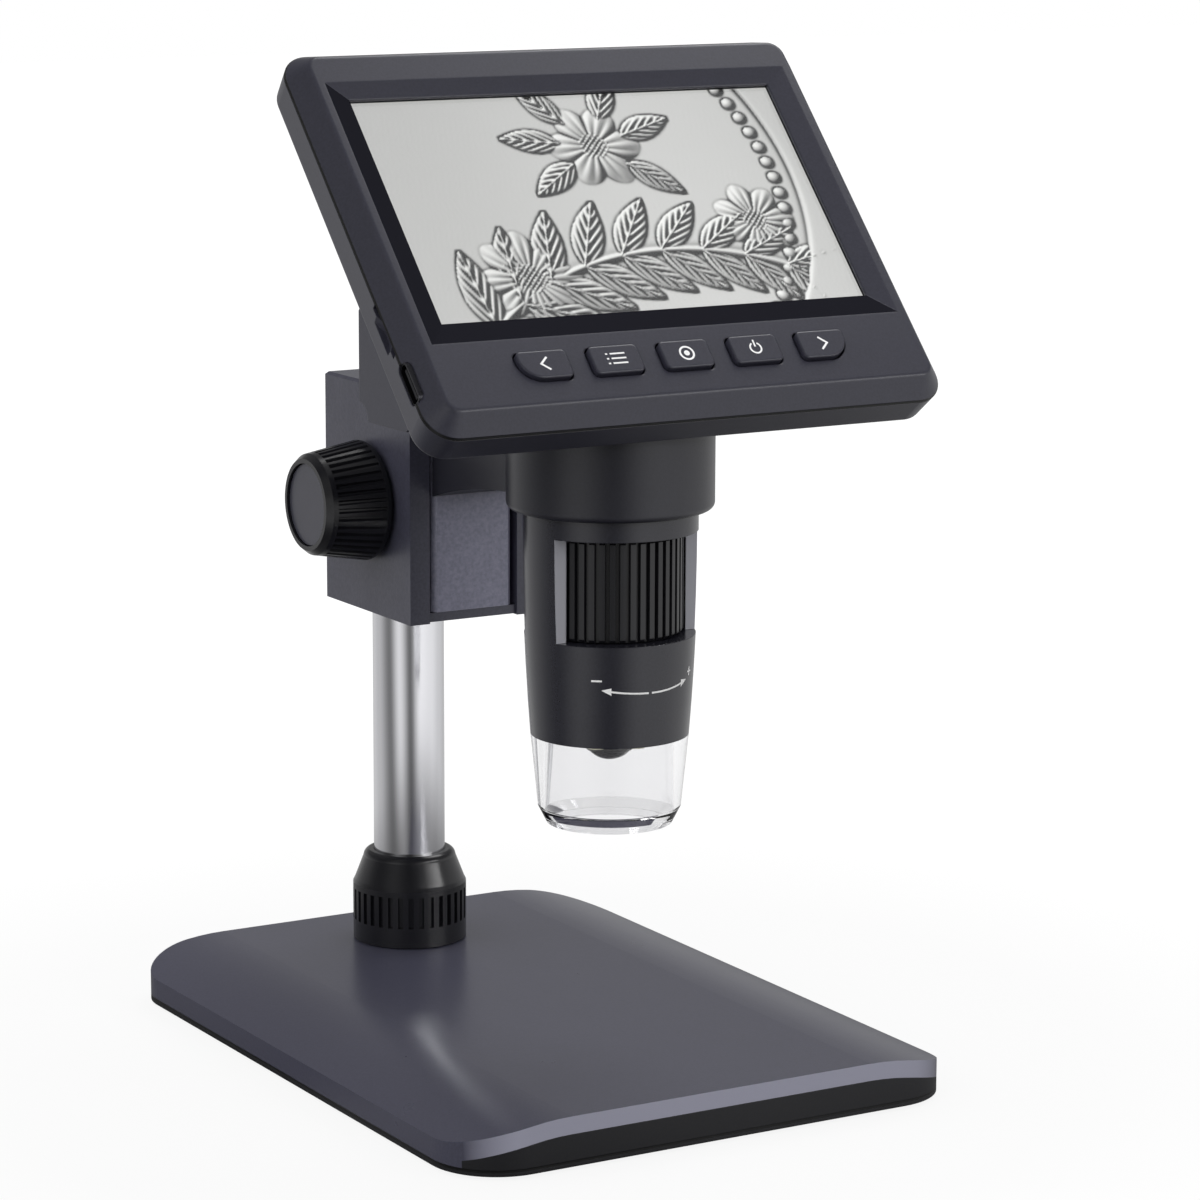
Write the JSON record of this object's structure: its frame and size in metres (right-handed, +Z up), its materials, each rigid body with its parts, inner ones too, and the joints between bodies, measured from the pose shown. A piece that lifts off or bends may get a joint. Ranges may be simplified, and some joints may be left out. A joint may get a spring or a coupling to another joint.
{
  "type": "lcd digital microscope",
  "caption": "Digital microscope: a tilted screen with a button row over a lens barrel with a clear cap, raised by a rack on a round column from a flat base.",
  "frame": {"origin": "middle of the base, on the surface it stands on", "axes": "+Z up, the screen faces -Y and up, +X to the user's right"},
  "size_m": [0.115, 0.153, 0.2066],
  "materials": {
    "satin_case": "satin moulded ABS",
    "dark_case": "satin moulded ABS",
    "gloss_black": "smooth black moulding",
    "aluminium_tube": "drawn, satin",
    "steel": "zinc plated",
    "black_metal": "black coated",
    "bronze": "sintered bronze",
    "rubber": "matte",
    "clear": "clear polycarbonate",
    "screen_picture": "lit picture",
    "circuit_board": "solder mask",
    "lamp": "white lamps",
    "battery_wrap": "shrink sleeve"
  },
  "bodies": {
    "base": {"base_top_shell": "satin_case", "base_bottom_tray": "dark_case", "base_weight_plate": "steel", "rubber_feet": "rubber", "base_screws": "steel", "column_socket": "dark_case"},
    "lock_collar": {"column_lock_collar": "gloss_black"},
    "column": {"column_tube": "aluminium_tube", "column_end_plug": "dark_case", "column_pivot_screw": "steel", "carriage_housing": "satin_case", "carriage_bottom_plate": "dark_case", "guide_strips": "bronze", "shaft_bushes": "bronze", "column_clamp_screw": "steel"},
    "focus_drive": {"pinion_shaft": "steel", "focus_pinion": "bronze", "left_focus_knob": "gloss_black", "left_knob_cap": "satin_case", "right_focus_knob": "gloss_black", "right_knob_cap": "satin_case"},
    "head": {"slide_plate": "black_metal", "arm_screws": "steel", "focus_rack": "bronze", "head_bracket": "black_metal", "ring_set_screw": "steel", "barrel_shell": "dark_case", "led_ring_board": "circuit_board", "led_lamps": "lamp", "clear_cap": "clear", "sensor_board": "circuit_board", "image_sensor": "gloss_black", "display_bezel": "satin_case", "display_rear_cover": "satin_case", "screen_window": "clear", "lcd_panel": "screen_picture", "main_board": "circuit_board", "memory_card_reader": "steel", "button_board": "circuit_board", "button_switches": "steel", "usb_port": "steel", "battery_cells": "battery_wrap", "cover_screws": "steel"},
    "focus_wheel": {"focus_wheel": "gloss_black"},
    "lens_cell": {"lens_cell": "gloss_black", "objective_lens": "clear"},
    "button_back": {"button_back": "dark_case"},
    "button_menu": {"button_menu": "dark_case"},
    "button_select": {"button_select": "dark_case"},
    "button_power": {"button_power": "dark_case"},
    "button_next": {"button_next": "dark_case"}
  },
  "joints": [
    {"name": "collar_turn", "type": "hinge", "parent": "base", "child": "lock_collar", "pos_m": [0, 0.0533, 0.02], "axis": [0, 0, 1], "range_deg": [0, 120]},
    {"name": "column_swivel", "type": "hinge", "parent": "base", "child": "column", "pos_m": [0, 0.0533, 0.05], "axis": [0, 0, 1], "continuous": true},
    {"name": "head_lift", "type": "slide", "parent": "column", "child": "head", "axis": [0, 0, 1], "range_m": [0, 0.018]},
    {"name": "focus_knob", "type": "hinge", "parent": "column", "child": "focus_drive", "pos_m": [0, 0.0421, 0.1103], "axis": [1, 0, 0], "range_deg": [-216, 0]},
    {"name": "focus_wheel_turn", "type": "hinge", "parent": "head", "child": "focus_wheel", "pos_m": [0, -0.0323, 0.10375], "axis": [0, 0, 1], "range_deg": [-150, 150]},
    {"name": "lens_shift", "type": "slide", "parent": "head", "child": "lens_cell", "axis": [0, 0, 1], "range_m": [-0.00248, 0.00248]},
    {"name": "button_back_press", "type": "slide", "parent": "head", "child": "button_back", "axis": [0, 0.7269, -0.6867], "range_m": [0, 0.0006], "stiffness_N_per_m": 400, "springref_m": -0.0005},
    {"name": "button_menu_press", "type": "slide", "parent": "head", "child": "button_menu", "axis": [0, 0.7269, -0.6867], "range_m": [0, 0.0006], "stiffness_N_per_m": 400, "springref_m": -0.0005},
    {"name": "button_select_press", "type": "slide", "parent": "head", "child": "button_select", "axis": [0, 0.7269, -0.6867], "range_m": [0, 0.0006], "stiffness_N_per_m": 400, "springref_m": -0.0005},
    {"name": "button_power_press", "type": "slide", "parent": "head", "child": "button_power", "axis": [0, 0.7269, -0.6867], "range_m": [0, 0.0006], "stiffness_N_per_m": 400, "springref_m": -0.0005},
    {"name": "button_next_press", "type": "slide", "parent": "head", "child": "button_next", "axis": [0, 0.7269, -0.6867], "range_m": [0, 0.0006], "stiffness_N_per_m": 400, "springref_m": -0.0005}
  ],
  "couplings": [
    {"joint": "focus_knob", "follows": "head_lift", "rad_per_m": -208.33},
    {"joint": "focus_wheel_turn", "follows": "lens_shift", "rad_per_m": 1052.6}
  ]
}
